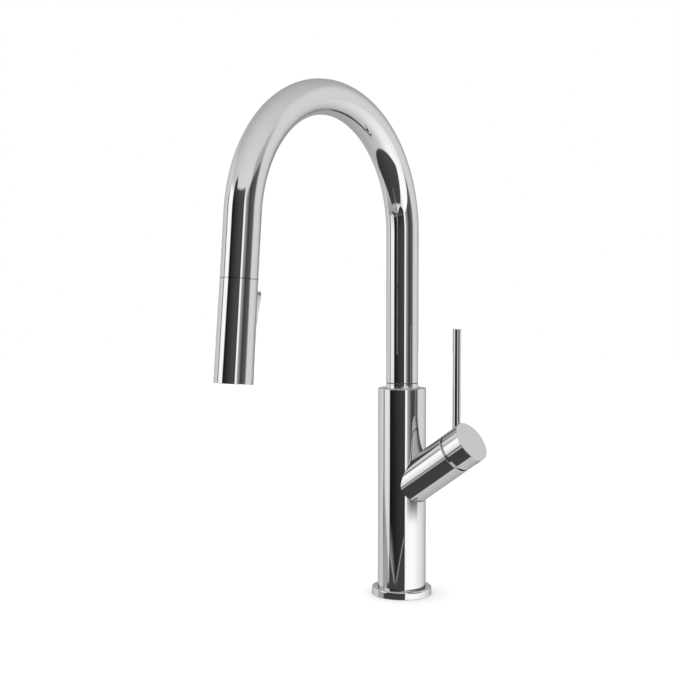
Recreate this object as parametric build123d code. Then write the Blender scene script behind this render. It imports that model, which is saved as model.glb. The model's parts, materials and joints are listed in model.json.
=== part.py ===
from build123d import *
from math import cos, sin, radians, sqrt, pi
import os

# Single-lever pull down kitchen faucet. Millimetres, +Z up, the column's axis is Z, z = 0 is the
# deck under the base. The spout reaches towards -Y (the user) and the lever stands on the +X side.

# ---- driving dimensions ----
TUBE_R = 14.0             # spout tube outer radius
TUBE_WALL = 1.2
COLUMN_R = 21.0
COLUMN_TOP = 180.4
FLANGE_R = 26.0
FLANGE_BAND = 5.3         # height of the flange's vertical edge
FLANGE_TOP = 7.0
ARC_START = 314.7         # height where the riser meets the arc
ARC_R = 104.0             # arc radius of the tube's centreline
ARC_ANGLE = 175.0         # degrees turned by the arc, so the outer leg leans 5 degrees outwards
LEG = 125.5               # straight outer leg, from the arc's end to the spray face
HEAD = 76.7               # spray head length, from the spray face to the docking seam
HEAD_TIP_R = 14.7
SEAM = 0.3                # visible gap at the docking seam and similar joints

LEVER_Z = 89.9            # height where the barrel's axis crosses the column's axis
LEVER_RISE = 35.0         # the barrel's slope above the horizontal, degrees
BARREL_R = 18.0
BARREL_END = 66.2         # barrel rim, measured along the barrel's axis from the column's axis
CAP_START = 68.5
CAP_END = 86.0
PIVOT = 53.5              # lever pivot, along the same axis
LEVER_TILT = 20.0         # lever travel from off to full flow
ROD_R = 3.5
ROD_X = 55.5
ROD_BOTTOM = 145.5
ROD_TOP = 232.9

SHANK_R = 16.45
SHANK_BORE = 14.2
SHANK_BOTTOM = -56.0
SHANK_TOP = 14.0
DECK = 20.0               # deck thickness that the nut and washers are drawn for

HOSE_R = 6.0
HOSE_BORE = 3.8
HOSE_X_SHANK = -7.6       # the hose's place in the shank
HOSE_X_COLUMN = -11.0     # and beside the valve block
INLET_X, INLET_Y = 4.2, 7.9
INLET_R = 4.5             # tapped wall radius of the hot and cold inlets
INLET_DEPTH = 12.0
OUTLET_X = 9.6
OUTLET_R = 4.0
OUTLET_BOTTOM = -72.0
SPIGOT_R, SPIGOT_LONG = 4.8, 12.0   # quick-connect spigot on the outlet pipe's end
BLOCK_BOTTOM, BLOCK_TOP = 60.0, 118.0
BLOCK_R = 18.6
BORE_R = 18.8             # column bore beside the valve block
COLUMN_BOTTOM = 1.5
BUSHING_R = 15.0          # counterbore for the two swivel bushings
COLLAR_BORE_R = 12.75     # the column's mouth round the spout's foot sleeve
SPOUT_SCREW_Z = 160.0     # height of the screw that keeps the spout in
SPOUT_SCREW_R = 2.5

SEAT = 26.0               # cartridge seat, along the barrel's axis
PORT_R = 2.5
PORT_RISE = 2.0           # the inlet ports' offset above the barrel's axis
OUT_DROP = 7.0            # the outlet port's offset below it
RUN = 0.05                # running clearance of shafts
CUP_R = 16.0              # bore of the lever barrel
STEM_R = 4.0              # lever stem
STEM_PIN_R = 1.2
CAP_SCREW = 80.3          # the handle's set screw, along the barrel's axis
CAP_SCREW_R = 2.0
SLEEVE_R = 12.4           # foot sleeve of the spout, turning in the bushings

TOGGLE_MID = 57.4         # toggle pivot height above the spray face
TOGGLE_HALF = 13.4        # half the paddle's height
TOGGLE_WIDE = 8.6         # half its width
TOGGLE_LEAN = 8.1         # lean of the paddle at rest, degrees
TOGGLE_PROUD = 2.9        # how far its middle stands proud
TOGGLE_SWEEP = 14.2       # its upper end is rounded about the pivot, to clear the window
TOGGLE_WINDOW = 0.35      # gap round the paddle
TOGGLE_PIN_Y = 12.0
TOGGLE_PIN_R = 1.0
SPOOL_Y, SPOOL_R = 9.1, 1.6

# ---- frames of the two tilted groups ----
SLOPE = radians(LEVER_RISE)
LEVER = Plane(origin=(0, 0, LEVER_Z), x_dir=(-sin(SLOPE), 0, cos(SLOPE)), z_dir=(cos(SLOPE), 0, sin(SLOPE)))
END = radians(ARC_ANGLE)
ARC_END = Vector(0, -ARC_R + ARC_R * cos(END), ARC_START + ARC_R * sin(END))
LEG_DOWN = Vector(0, -sin(END), cos(END))
TIP = ARC_END + LEG_DOWN * LEG
HEAD_PLANE = Plane(origin=TIP, x_dir=(1, 0, 0), z_dir=-LEG_DOWN)


def ring(r_out, r_in, low, high):
    """An upright ring, or a disc where r_in is 0."""
    solid = extrude(Plane.XY.offset(low) * Circle(r_out), high - low)
    if r_in > 0:
        solid -= extrude(Plane.XY.offset(low - 1) * Circle(r_in), high - low + 2)
    return solid


def lathe(*points):
    """A solid turned about Z from a closed outline of (radius, height) points."""
    return revolve(make_face(Plane.XZ * Polyline(*points, close=True)), axis=Axis.Z)


def rod_at(x, y, r, low, high):
    return Pos(x, y, 0) * ring(r, 0, low, high)


def block(x, y, z):
    """A box between three pairs of limits."""
    size = [b - a for a, b in (x, y, z)]
    return Pos(x[0], y[0], z[0]) * Box(*size, align=(Align.MIN, Align.MIN, Align.MIN))


# ---- base and deck fixings ----
def base_flange():
    body = lathe((COLUMN_R + RUN, 0), (FLANGE_R - 0.3, 0), (FLANGE_R, 0.3), (FLANGE_R, FLANGE_BAND),
                 (FLANGE_R - 0.35, FLANGE_BAND + 0.75), (FLANGE_R - 1.1, FLANGE_BAND + 1.2),
                 (FLANGE_R - 2.6, FLANGE_TOP - 0.2), (COLUMN_R + RUN, FLANGE_TOP))
    return body - ring(24.0, 0, -1, COLUMN_BOTTOM + RUN)


def base_gasket():
    return ring(23.9, 17.2, 0, COLUMN_BOTTOM)


def mounting_shank():
    return ring(SHANK_R, SHANK_BORE, SHANK_BOTTOM, SHANK_TOP)


def deck_rubber_washer():
    return ring(25, 17.0, -DECK - 3, -DECK)


def deck_steel_washer():
    return ring(25, 17.0, -DECK - 5.05, -DECK - 3.05)


def mounting_nut():
    low, high = -DECK - 17, -DECK - 5.1
    body = ring(21, 0, low, high) + ring(24, 0, high - 3, high)
    for turn in range(4):
        body += Rot(0, 0, 90 * turn) * block((18, 27), (-3.5, 3.5), (low, high - 3))
    return body - ring(SHANK_R + RUN, 0, low - 1, high + 1)


def hose_guard():
    low = SHANK_BOTTOM - 2.5
    lip = ring(18.0, SHANK_BORE - 0.1, low, SHANK_BOTTOM - RUN)
    return lip + ring(18.0, SHANK_R + RUN, SHANK_BOTTOM - 1, SHANK_BOTTOM + 7)


# ---- column ----
def column_shell():
    edge = 0.9
    body = lathe((SHANK_R + RUN, COLUMN_BOTTOM), (COLUMN_R, COLUMN_BOTTOM), (COLUMN_R, COLUMN_TOP - edge),
                 (COLUMN_R - edge, COLUMN_TOP), (COLLAR_BORE_R, COLUMN_TOP), (COLLAR_BORE_R, 178),
                 (BUSHING_R, 178), (BUSHING_R, 138), (BORE_R, 130), (BORE_R, SHANK_TOP),
                 (SHANK_R + RUN, SHANK_TOP))
    body -= LEVER * ring(CUP_R - RUN, 0, 8, 45)
    return body - Pos(0, 0, SPOUT_SCREW_Z) * Rot(-90, 0, 0) * ring(SPOUT_SCREW_R, 0, 10, 24)


def swivel_bushings():
    return [ring(BUSHING_R, SLEEVE_R + RUN, low, high) for low, high in ((141, 149), (169, 177.9))]


def glide_washer():
    return ring(14.2, COLLAR_BORE_R + RUN, COLUMN_TOP, COLUMN_TOP + 0.35)


def spout_set_screw():
    place = Pos(0, 0, SPOUT_SCREW_Z) * Rot(-90, 0, 0)
    screw = place * (ring(SPOUT_SCREW_R - RUN, 0, 12.9, 20.2) + ring(1.4, 0, 11.45, 13))
    socket = extrude(RegularPolygon(1.25, 6), 2.2)
    return screw - place * Pos(0, 0, 18.1) * socket


# ---- valve ----
def valve_block():
    body = ring(BLOCK_R, 0, BLOCK_BOTTOM, BLOCK_TOP) & block((-4, 30), (-30, 30), (BLOCK_BOTTOM, BLOCK_TOP))
    body += LEVER * ring(15.9, 0, 10, SEAT) & block((-4, 40), (-30, 30), (BLOCK_BOTTOM, 140))
    body -= LEVER * ring(16.5, 0, SEAT, SEAT + 20)
    way_top = LEVER_Z + INLET_X * sin(SLOPE) / cos(SLOPE) + PORT_RISE / cos(SLOPE)
    for side in (-1, 1):
        body -= rod_at(INLET_X, side * INLET_Y, INLET_R, BLOCK_BOTTOM - 1, BLOCK_BOTTOM + INLET_DEPTH)
        body -= rod_at(INLET_X, side * INLET_Y, 3.0, BLOCK_BOTTOM, way_top)
        body -= LEVER * Pos(PORT_RISE, side * INLET_Y, 0) * ring(PORT_R, 0, 5.5, SEAT + 1)
    out_top = LEVER_Z + OUTLET_X * sin(SLOPE) / cos(SLOPE) - OUT_DROP / cos(SLOPE)
    body -= rod_at(OUTLET_X, 0, OUTLET_R + RUN, BLOCK_BOTTOM - 1, BLOCK_BOTTOM + 15)
    body -= rod_at(OUTLET_X, 0, 3.0, BLOCK_BOTTOM, out_top)
    return body - LEVER * Pos(-OUT_DROP, 0, 0) * ring(PORT_R, 0, 6, SEAT + 1)


def outlet_pipe():
    low, high = OUTLET_BOTTOM + 1.5, BLOCK_BOTTOM + 14.9
    return Pos(OUTLET_X, 0, 0) * ring(OUTLET_R, OUTLET_R - 0.8, low, high)


def outlet_spigot():
    body = ring(SPIGOT_R, OUTLET_R + RUN, OUTLET_BOTTOM, OUTLET_BOTTOM + SPIGOT_LONG)
    return Pos(OUTLET_X, 0, 0) * (body + ring(SPIGOT_R, 3.2, OUTLET_BOTTOM, OUTLET_BOTTOM + 1.45))


def valve_barrel():
    edge = 0.4
    body = lathe((CUP_R, 5), (BARREL_R, 5), (BARREL_R, BARREL_END - edge), (BARREL_R - edge, BARREL_END),
                 (CUP_R, BARREL_END))
    return LEVER * body - ring(COLUMN_R + 0.02, 0, 0, 200)


def port_places():
    return [(PORT_RISE, INLET_Y), (PORT_RISE, -INLET_Y), (-OUT_DROP, 0)]


def cartridge_seals():
    seal = ring(PORT_R + 1.4, PORT_R + 0.1, SEAT, SEAT + 1)
    return [LEVER * Pos(x, y, 0) * seal for x, y in port_places()]


def cartridge_body():
    body = ring(15.5, 13.2, SEAT + 1.05, 51.3) + ring(15.5, 0, SEAT + 1.05, SEAT + 4)
    for x, y in port_places():
        body -= Pos(x, y, 0) * ring(PORT_R, 0, SEAT, SEAT + 5)
    return LEVER * body


def fixed_disc():
    body = ring(12.8, 0, SEAT + 4.05, SEAT + 7)
    for x, y in port_places():
        body -= Pos(x, y, 0) * ring(PORT_R, 0, SEAT, SEAT + 8)
    return LEVER * body


def moving_disc():
    low = SEAT + 7.02
    body = ring(10.2, 0, low, low + 3)
    return LEVER * (body - block((-6.5, 3), (-4, 4), (low - 1, low + 1.6)))


def disc_driver():
    low = SEAT + 10.05
    body = ring(9.9, 0, low, low + 4) + block((-4.5, 4.5), (-4.4, 4.4), (low + 4, low + 11.4))
    return LEVER * (body - ring(3.4, 0, low + 6, low + 12))


def disc_carrier():
    body = ring(12.9, 0, 40.6, 51.0) + ring(8.5, 0, 51.0, 57.5)
    body -= block((-7.6, 7.6), (-4.8, 4.8), (40, 50))
    body -= block((-6.2, 6.2), (-4.3, 4.3), (49, 58))
    return LEVER * (body - Pos(0, 0, PIVOT) * Rot(90, 0, 0) * Cylinder(STEM_PIN_R, 30))


def stem_pin():
    return LEVER * Pos(0, 0, PIVOT) * Rot(90, 0, 0) * Cylinder(STEM_PIN_R, 16.4)


def lever_stem():
    body = ring(STEM_R, 0, 49.0, 83.9) + ring(2.4, 0, 45.0, 49.4) + Pos(0, 0, 45.9) * Sphere(3.0)
    return LEVER * (body - Pos(0, 0, PIVOT) * Rot(90, 0, 0) * Cylinder(STEM_PIN_R + RUN, 30))


def cartridge_nut():
    body = ring(CUP_R - RUN, 9.0, 51.35, 57.9)
    for turn in range(6):
        body -= Rot(0, 0, 60 * turn) * block((11, 14), (-1.5, 1.5), (55.5, 59))
    return LEVER * body


def bonnet():
    ball = Pos(0, 0, PIVOT) * Sphere(21.7)
    neck = ring(15.8, 0, BARREL_END - 1, 80) & ball
    body = ring(CUP_R - RUN, 0, 58.0, BARREL_END - 0.2) + neck
    return LEVER * (body - ring(11.6, 0, 50, 90) - ring(14.0, 0, 50, 64))


def handle_cap():
    edge = 0.35
    body = lathe((0, CAP_START), (BARREL_R - edge, CAP_START), (BARREL_R, CAP_START + edge),
                 (BARREL_R, CAP_END - edge), (BARREL_R - edge, CAP_END), (0, CAP_END))
    body -= Pos(0, 0, PIVOT) * Sphere(22.3)
    body -= ring(STEM_R + RUN, 0, 70, 84.0)
    body -= Pos(0, 0, CAP_SCREW) * Rot(0, -90, 0) * ring(CAP_SCREW_R + RUN, 0, 3, 19)
    return LEVER * body - rod_at(ROD_X, 0, ROD_R + 0.02, ROD_BOTTOM - RUN, 200)


def lever_rod():
    edge = 0.4
    return Pos(ROD_X, 0, 0) * lathe((0, ROD_BOTTOM), (ROD_R, ROD_BOTTOM), (ROD_R, ROD_TOP - edge),
                                    (ROD_R - edge, ROD_TOP), (0, ROD_TOP))


def handle_set_screw():
    screw = ring(CAP_SCREW_R, 0, STEM_R + RUN, 16.9) - Pos(0, 0, 14.9) * extrude(RegularPolygon(1.15, 6), 3)
    return LEVER * Pos(0, 0, CAP_SCREW) * Rot(0, -90, 0) * screw


# ---- spout ----
def spout_line(low, leg_end):
    """The spout's centreline, from a height on the riser to a height above the spray face."""
    foot = Vector(0, 0, low)
    top = Vector(0, 0, ARC_START)
    middle = Vector(0, -ARC_R + ARC_R * cos(END / 2), ARC_START + ARC_R * sin(END / 2))
    line = Line(foot, top) + ThreePointArc(top, middle, ARC_END)
    return line + Line(ARC_END, TIP - LEG_DOWN * leg_end)


def pipe(path, start, r_out, r_in):
    """A round pipe along a path that starts upright at a point."""
    solid = sweep(Plane(origin=start, z_dir=(0, 0, 1)) * Circle(r_out), path=path)
    return solid - sweep(Plane(origin=start, z_dir=(0, 0, 1)) * Circle(r_in), path=path)


def spout_tube():
    low = COLUMN_TOP + 4.55
    return pipe(spout_line(low, HEAD), (0, 0, low), TUBE_R, TUBE_R - TUBE_WALL)


def spout_foot_sleeve():
    top = COLUMN_TOP + 4.5
    body = ring(SLEEVE_R, 9.6, 140, top) + ring(COLLAR_BORE_R, 9.6, top, top + 15)
    return body - ring(20, 11.2, 158.3, 161.7)


def swivel_collar():
    low, high = COLUMN_TOP + 0.4, COLUMN_TOP + 4.3
    bore = COLLAR_BORE_R + RUN
    return lathe((bore, low), (14.45, low), (14.5, low + 0.4), (14.1, low + 2.4), (TUBE_R, high),
                 (bore, high))


def docking_socket():
    return HEAD_PLANE * lathe((11.3, 77.2), (12.7, 77.2), (12.7, 99), (12.2, 99), (12.2, 92), (10.3, 92))


def docking_magnet():
    return HEAD_PLANE * ring(12.15, 8.7, 92.05, 96)


def magnet_cap():
    return HEAD_PLANE * ring(12.15, 8.7, 96.05, 98.9)


# ---- hose ----
def s_bend(x1, z1, x2, z2):
    """Two equal tangent arcs that carry an upright line sideways."""
    a, b = Vector(x1, 0, z1), Vector(x2, 0, z2)
    middle = (a + b) * 0.5
    return TangentArc(a, middle, tangent=(0, 0, 1)) + TangentArc(b, middle, tangent=(0, 0, -1))


def hose_riser():
    bottom, top = SHANK_BOTTOM - 6, 150
    path = Line((HOSE_X_SHANK, 0, bottom), (HOSE_X_SHANK, 0, 0))
    path += s_bend(HOSE_X_SHANK, 0, HOSE_X_COLUMN, 50)
    path += Line((HOSE_X_COLUMN, 0, 50), (HOSE_X_COLUMN, 0, 112)) + s_bend(HOSE_X_COLUMN, 112, 0, top)
    return pipe(path, (HOSE_X_SHANK, 0, bottom), HOSE_R, HOSE_BORE)


def hose_in_spout():
    return pipe(spout_line(150.2, LEG - 1), (0, 0, 150.2), HOSE_R, HOSE_BORE)


def hose_lead():
    return HEAD_PLANE * ring(HOSE_R, HOSE_BORE, 100.1, LEG - 1.2)


def hose_stem():
    body = ring(6.6, 0, 77.3, 79.7) + ring(4.9, 0, 79.7, 84.1) + ring(7.4, 0, 84, 100)
    return HEAD_PLANE * (body - ring(2.8, 0, 77, 101))


def hose_washer():
    return HEAD_PLANE * ring(6.4, 3.6, 76.1, 77.2)


# ---- spray head ----
def shell_radius(height):
    return HEAD_TIP_R + (TUBE_R - HEAD_TIP_R) * height / HEAD


def spray_shell():
    top, edge, wall = HEAD - SEAM, 0.4, 1.4
    body = lathe((HEAD_TIP_R - wall, 0), (HEAD_TIP_R - edge, 0), (HEAD_TIP_R, edge),
                 (shell_radius(top), top - edge), (shell_radius(top) - edge, top), (12.6, top), (12.6, 8),
                 (HEAD_TIP_R - wall, 8))
    window = TOGGLE_WIDE + TOGGLE_WINDOW
    low, high = TOGGLE_MID - TOGGLE_HALF - 0.5, TOGGLE_MID + TOGGLE_SWEEP + 0.3
    body -= block((-window, window), (5, 20), (low, high))
    return HEAD_PLANE * body


def dock_plug():
    foot = TOGGLE_MID + TOGGLE_SWEEP + 0.2
    return HEAD_PLANE * lathe((9.0, foot), (12.5, foot), (12.5, HEAD - 0.6), (11.0, HEAD - 0.6),
                              (11.0, 77.4), (10.0, 91), (9.0, 91))


def head_magnet_ring():
    return HEAD_PLANE * ring(9.9, 9.0, 91.05, 91.65)


def swivel_nut():
    body = ring(8.4, 0, 68, 82) - ring(7.05, 0, 67, 80) - ring(5.3, 0, 79, 83)
    for turn in range(6):
        body -= Rot(0, 0, 60 * turn) * block((7.75, 9), (-5, 5), (72, 83))
    return HEAD_PLANE * body


def toggle_axis(radius, half=20):
    """A cylinder on the toggle's pivot, in the spray head's frame."""
    return Pos(0, TOGGLE_PIN_Y, TOGGLE_MID) * Rot(0, 90, 0) * Cylinder(radius, 2 * half)


def waterway_core():
    body = ring(12.3, 0, 6.5, 46) + ring(7.2, 0, 46, 67) + ring(7.0, 0, 67, 76)
    body -= ring(11.2, 0, 6, 12)
    body -= ring(4.2, 0, 46, 77) + ring(3.0, 0, 11, 47)
    body -= rod_at(0, SPOOL_Y, SPOOL_R + RUN, 21, 47)
    for side in (-1, 1):
        ear = block((5.3, 6.8), (2, TOGGLE_PIN_Y + 0.9), (TOGGLE_MID - 2.2, TOGGLE_MID + 2.2))
        body += ear if side == 1 else mirror(ear, Plane.YZ)
    return HEAD_PLANE * (body - toggle_axis(TOGGLE_PIN_R + RUN))


def toggle_pin():
    return HEAD_PLANE * toggle_axis(TOGGLE_PIN_R, 6.75)


def toggle_paddle():
    low, high, thick = TOGGLE_MID - TOGGLE_HALF, TOGGLE_MID + TOGGLE_HALF, 12.6
    drum = Cylinder(14.25, 60) & Box(2 * TOGGLE_WIDE, 60, 60)
    drum = Pos(0, TOGGLE_PROUD, TOGGLE_MID) * Rot(-TOGGLE_LEAN, 0, 0) * drum
    body = drum & block((-20, 20), (10.9, 30), (low, high)) & toggle_axis(TOGGLE_SWEEP)
    body -= block((-20, 20), (0, thick), (low - 1, 46.5)) + block((-20, 20), (0, thick), (68, high + 1))
    for side in (-1, 1):
        slot = block((5.0, 7.1), (9, 13.3), (TOGGLE_MID - 3.2, TOGGLE_MID + 3.2))
        body -= slot if side == 1 else mirror(slot, Plane.YZ)
    return HEAD_PLANE * (body - toggle_axis(TOGGLE_PIN_R + RUN))


def diverter_spool():
    return HEAD_PLANE * (rod_at(0, SPOOL_Y, SPOOL_R, 24, 52) - rod_at(0, SPOOL_Y, 5, 30, 34)
                         + rod_at(0, SPOOL_Y, 0.9, 29, 35))


def check_valve():
    return HEAD_PLANE * (ring(4.15, 3.2, 55, 64) + ring(3.3, 0, 58, 59.5))


def inlet_strainer():
    return HEAD_PLANE * (ring(4.1, 3.4, 72.5, 75.9) + ring(3.5, 0, 72.5, 73.0))


def nozzle_places():
    for count, radius in ((12, 7.4), (16, 10.3)):
        for turn in range(count):
            angle = 2 * pi * turn / count
            yield radius * cos(angle), radius * sin(angle)


def nozzle_plate():
    body = ring(12.9, 5.6, 1.0, 4.4)
    for x, y in nozzle_places():
        body -= rod_at(x, y, 0.95, 0, 6)
    return HEAD_PLANE * body


def nozzle_mat():
    body = ring(12.2, 5.9, 4.45, 5.8)
    for x, y in nozzle_places():
        body += rod_at(x, y, 0.8, 0.3, 5) - rod_at(x, y, 0.35, 0, 7)
    for x, y in nozzle_places():
        body -= rod_at(x, y, 0.35, 0, 7)
    return HEAD_PLANE * body


def aerator_housing():
    return HEAD_PLANE * (ring(5.5, 4.4, 0.8, 11.9) + ring(5.5, 3.2, 10.9, 11.9))


def aerator_screen():
    body = ring(4.3, 0, 2.2, 3.2)
    for column in range(-3, 4):
        for row in range(-3, 4):
            if sqrt(column ** 2 + row ** 2) < 3.3:
                body -= block((column - 0.32, column + 0.32), (row - 0.32, row + 0.32), (2, 4))
    return HEAD_PLANE * body


def face_seal():
    return HEAD_PLANE * Pos(0, 0, 6.15) * Torus(11.75, 0.3)


PARTS = [base_flange, base_gasket, mounting_shank, deck_rubber_washer, deck_steel_washer, mounting_nut,
         hose_guard, column_shell, swivel_bushings, glide_washer, spout_set_screw, valve_block,
         outlet_pipe, outlet_spigot, valve_barrel, cartridge_seals, cartridge_body, fixed_disc,
         moving_disc, disc_driver, disc_carrier, stem_pin, lever_stem, cartridge_nut, bonnet,
         handle_cap, lever_rod, handle_set_screw, spout_tube, spout_foot_sleeve, swivel_collar,
         docking_socket, docking_magnet, magnet_cap, hose_riser, hose_in_spout, hose_lead, hose_stem,
         hose_washer, spray_shell, dock_plug, head_magnet_ring, swivel_nut, waterway_core, toggle_pin,
         toggle_paddle, diverter_spool, check_valve, inlet_strainer, nozzle_plate, nozzle_mat,
         aerator_housing, aerator_screen, face_seal]

os.makedirs("parts", exist_ok=True)
for make in PARTS:
    shape = make()
    if isinstance(shape, list):
        shape = Compound(children=shape)
    export_step(shape, f"parts/{make.__name__}.step")
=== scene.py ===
"""Single-lever pull down kitchen faucet in polished chrome, dressed over its CAD frame."""

import json
from math import asin, atan2, copysign, cos, degrees, pi, radians, sin, sqrt, tan

import bpy
from bpy.props import FloatProperty, FloatVectorProperty, IntProperty
from mathutils import Matrix, Vector


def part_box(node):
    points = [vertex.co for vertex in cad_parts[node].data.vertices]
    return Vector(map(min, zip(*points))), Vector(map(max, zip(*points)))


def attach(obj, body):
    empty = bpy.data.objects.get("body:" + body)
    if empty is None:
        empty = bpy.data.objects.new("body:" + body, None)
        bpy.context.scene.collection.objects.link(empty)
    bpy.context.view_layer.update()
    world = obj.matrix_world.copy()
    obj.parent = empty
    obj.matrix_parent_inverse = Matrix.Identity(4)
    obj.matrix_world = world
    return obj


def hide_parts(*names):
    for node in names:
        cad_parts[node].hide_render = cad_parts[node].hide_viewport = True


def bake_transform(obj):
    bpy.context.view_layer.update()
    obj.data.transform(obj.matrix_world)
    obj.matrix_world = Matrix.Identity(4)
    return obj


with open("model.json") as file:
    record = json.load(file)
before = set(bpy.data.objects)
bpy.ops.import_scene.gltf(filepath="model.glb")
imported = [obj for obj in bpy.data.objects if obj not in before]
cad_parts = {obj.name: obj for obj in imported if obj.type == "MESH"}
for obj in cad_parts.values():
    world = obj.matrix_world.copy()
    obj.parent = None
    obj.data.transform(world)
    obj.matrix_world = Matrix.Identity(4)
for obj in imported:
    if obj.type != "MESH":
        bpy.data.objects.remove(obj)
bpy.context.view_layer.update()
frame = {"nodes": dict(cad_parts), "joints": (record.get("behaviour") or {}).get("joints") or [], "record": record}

bl_info = {
    "name": "Pull Down Kitchen Faucet",
    "version": (1, 0, 0),
    "blender": (4, 5, 0),
    "location": "View3D > Sidebar > Faucet",
    "description": "Builds the polished pieces of a pull down kitchen faucet over its CAD frame",
    "category": "Add Mesh",
}

MM = 0.001
WINDOW_GAP = 0.35 * MM
FLANGE_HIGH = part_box("base_flange")[1]
COLUMN_LOW, COLUMN_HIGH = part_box("column_shell")
TUBE_LOW, TUBE_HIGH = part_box("spout_tube")
COLLAR_LOW, COLLAR_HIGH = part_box("swivel_collar")
ROD_LOW, ROD_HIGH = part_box("lever_rod")
BARREL_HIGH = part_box("valve_barrel")[1]
HEAD_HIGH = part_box("spray_shell")[1]
JOINTS = {joint["name"]: joint for joint in frame["joints"]}


def length(name, default, description):
    return FloatProperty(name=name, description=description, default=default, min=0.0, unit="LENGTH",
                         precision=5)


def turn(name, default, description):
    return FloatProperty(name=name, description=description, default=radians(default), unit="ROTATION")


def finish_colour(name, default, description):
    return FloatVectorProperty(name=name, description=description, default=default, min=0.0, max=1.0,
                               size=3, subtype="COLOR")


class FaucetSizes(bpy.types.PropertyGroup):
    """Sizes of the polished pieces."""

    flange_radius: length("Flange radius", FLANGE_HIGH.x, "Outer radius of the base flange")
    flange_top: length("Flange top", FLANGE_HIGH.z, "Height of the base flange")
    flange_band: length("Flange band", 5.3 * MM, "Height of the flange's upright edge")
    column_radius: length("Column radius", COLUMN_HIGH.x, "Outer radius of the column")
    column_top: length("Column top", COLUMN_HIGH.z, "Height of the column's upper rim")
    column_edge: length("Column edge", 0.35 * MM, "Rounding of the column's upper rim")
    spout_screw_height: length("Spout screw height", 160 * MM, "Height of the screw at the column's back")
    tube_radius: length("Tube radius", TUBE_HIGH.x, "Outer radius of the spout tube")
    tube_wall: length("Tube wall", 1.2 * MM, "Wall of the spout tube")
    tube_foot: length("Tube foot", TUBE_LOW.z + 0.35 * MM, "Height where the spout tube starts")
    arc_radius: length("Arc radius", 104 * MM, "Radius of the high arc's centreline")
    arc_turn: turn("Arc turn", 175, "Angle that the high arc turns through")
    leg: length("Outer leg", 125.5 * MM, "Straight run from the arc's end to the spray face")
    head: length("Head length", 76.7 * MM, "Spray head, from the spray face to the docking seam")
    head_tip_radius: length("Head tip radius", HEAD_HIGH.x, "Radius of the head at the spray face")
    seam: length("Seam", 0.55 * MM, "Height of the dark ring at the docking seam and at the collar")
    lever_height: length("Lever height", 89.9 * MM, "Height where the lever barrel's axis meets the column's")
    lever_rise: turn("Lever rise", 35, "Slope of the lever barrel above the horizontal")
    barrel_radius: length("Barrel radius", BARREL_HIGH.y, "Outer radius of the lever barrel")
    barrel_end: length("Barrel end", 66.2 * MM, "Barrel rim, measured along its axis")
    cap_start: length("Cap start", 68.5 * MM, "Lower face of the handle cap, along the same axis")
    cap_end: length("Cap end", 86 * MM, "Outer face of the handle cap, along the same axis")
    pivot: length("Lever pivot", 53.5 * MM, "Centre of the lever's ball, along the same axis")
    cap_screw: length("Handle screw", 80.3 * MM, "Place of the handle's set screw, along the same axis")
    rod_radius: length("Rod radius", (ROD_HIGH.x - ROD_LOW.x) / 2, "Radius of the lever rod")
    toggle_middle: length("Toggle pivot", 57.4 * MM, "Height of the toggle's pivot above the spray face")
    toggle_width: length("Toggle half width", 8.6 * MM, "Half the toggle's width")
    toggle_height: length("Toggle half height", 13.4 * MM, "Half the toggle's height")
    toggle_lean: turn("Toggle lean", 8.1, "Lean of the toggle at rest")
    toggle_proud: length("Toggle stand-out", 2.9 * MM, "How far the toggle's middle stands out")
    toggle_sweep: length("Toggle sweep", 14.2 * MM, "Reach of the toggle's upper end from its pivot")
    hose_radius: length("Hose radius", 6 * MM, "Outer radius of the spray hose")


class FaucetFinish(bpy.types.PropertyGroup):
    """Colours of the finishes."""

    chrome: finish_colour("Chrome", (0.905, 0.908, 0.912), "Mirror chrome plate")
    brass: finish_colour("Brass", (0.74, 0.56, 0.28), "Machined brass")
    copper: finish_colour("Copper", (0.80, 0.42, 0.27), "Drawn copper tube")
    steel: finish_colour("Stainless steel", (0.60, 0.60, 0.59), "Stainless steel")
    magnet: finish_colour("Magnet", (0.52, 0.52, 0.53), "Nickel-plated magnet")
    rubber: finish_colour("Rubber", (0.018, 0.018, 0.019), "Moulded rubber")
    acetal: finish_colour("Acetal", (0.80, 0.79, 0.75), "White moulded acetal")
    plastic: finish_colour("Grey plastic", (0.055, 0.058, 0.062), "Grey moulded plastic")
    ceramic: finish_colour("Ceramic", (0.86, 0.83, 0.78), "Lapped ceramic discs")
    silicone: finish_colour("Silicone", (0.045, 0.048, 0.052), "Nozzle silicone")
    # The braid's dark colour is painted shade in the valleys between strands; its light colour is the strands' own
    # colour on their crowns.
    braid_crown_colour: finish_colour("Braid light", (0.34, 0.35, 0.37), "Light strands of the hose braid")
    braid_groove_shade: finish_colour("Braid dark", (0.05, 0.052, 0.056), "Dark strands of the hose braid")


class StudioSettings(bpy.types.PropertyGroup):
    """The plain studio round the faucet."""

    lens: FloatProperty(name="Lens", description="Focal length of the camera", default=64.84, min=1.0,
                        unit="CAMERA")
    camera_azimuth: turn("Camera azimuth", 37.046, "Direction of the camera's view round the column")
    camera_tilt: turn("Camera tilt", 2.856, "How far the camera looks down")
    camera_place: FloatVectorProperty(name="Camera place", description="Where the camera stands", size=3,
                                      default=(0.59697, -0.88068, 0.27501), subtype="TRANSLATION",
                                      unit="LENGTH")
    floor_size: length("Floor size", 6.0, "Side of the square floor")
    dome: FloatProperty(name="Dome", description="Brightness of the soft light from all round", default=1.32,
                        min=0.0)
    softbox_power: FloatProperty(name="Softbox power", description="Power of the overhead softbox",
                                 default=1.0, min=0.0, unit="POWER")
    segments: IntProperty(name="Segments", description="Facets round each turned piece", default=192, min=24)


def sizes():
    return bpy.context.scene.faucet_sizes


def finish():
    return bpy.context.scene.faucet_finish


def studio():
    return bpy.context.scene.faucet_studio


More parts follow.
